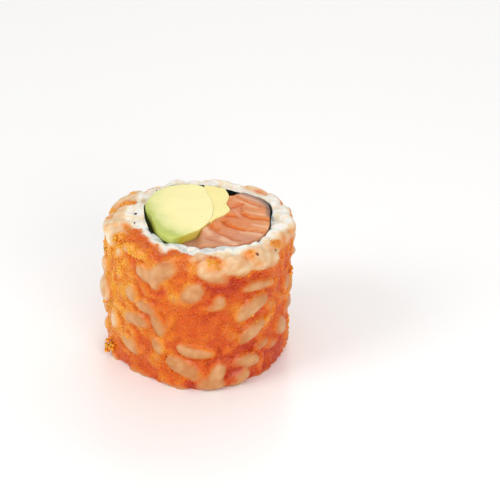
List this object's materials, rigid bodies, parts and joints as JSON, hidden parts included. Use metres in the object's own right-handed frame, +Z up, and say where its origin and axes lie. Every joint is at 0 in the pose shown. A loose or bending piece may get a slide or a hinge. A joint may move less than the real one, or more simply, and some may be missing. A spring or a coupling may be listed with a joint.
{
  "type": "sushi roll piece",
  "caption": "Upright cut piece of an inside-out sushi roll: roe-coated rice round a nori wrap that holds avocado and salmon.",
  "frame": {"origin": "centre of the lower cut face, which the piece stands on", "axes": "+Z up the roll, from the lower to the upper cut face; -Y is the front that the picture shows; +X is the salmon's side"},
  "size_m": [0.0433, 0.042, 0.0344],
  "materials": {
    "rice": "moist cooked rice with a glossy coat of orange roe",
    "nori": "dark green-black moist seaweed sheet",
    "avocado": "smooth ripe flesh, green at the skin side",
    "avocado_inner": "smooth ripe flesh, yellow near the stone",
    "salmon": "moist flaked salmon"
  },
  "bodies": {
    "root": {"rice": "rice", "nori": "nori", "avocado_wedge": "avocado", "avocado_slice": "avocado_inner", "salmon": "salmon"}
  },
  "joints": []
}
